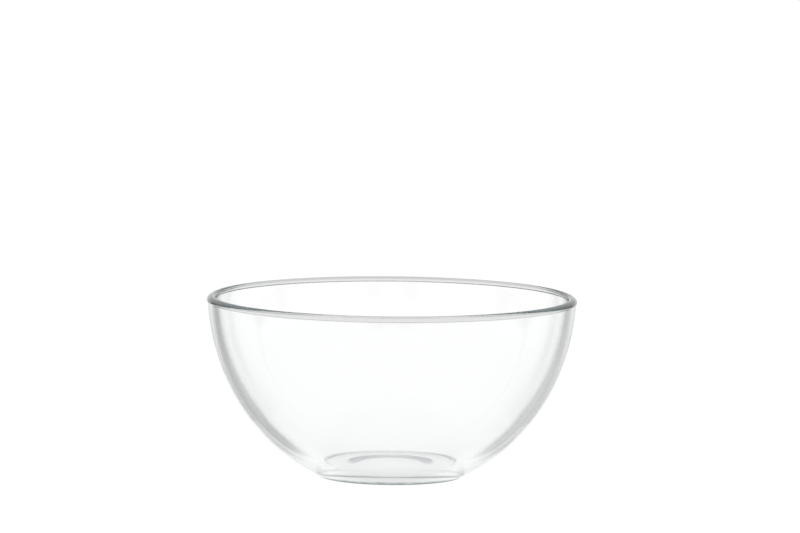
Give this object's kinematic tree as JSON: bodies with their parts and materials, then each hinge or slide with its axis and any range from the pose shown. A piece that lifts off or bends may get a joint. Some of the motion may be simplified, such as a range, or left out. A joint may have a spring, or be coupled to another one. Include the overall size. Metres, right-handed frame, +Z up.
{
  "type": "glass bowl",
  "caption": "Round serving bowl of clear pressed glass with a deep curved wall, a rounded bead round the rim and a small flat foot.",
  "frame": {"origin": "centre of the resting plane under the foot", "axes": "+Z up along the axis of the bowl, towards the mouth; X and Y are level and alike, because the bowl is round"},
  "size_m": [0.2, 0.2, 0.098],
  "materials": {
    "clear_glass": "fire-polished clear soda-lime glass with a faint grey-green cast in thick sections"
  },
  "bodies": {
    "root": {"bowl": "clear_glass"}
  },
  "joints": []
}
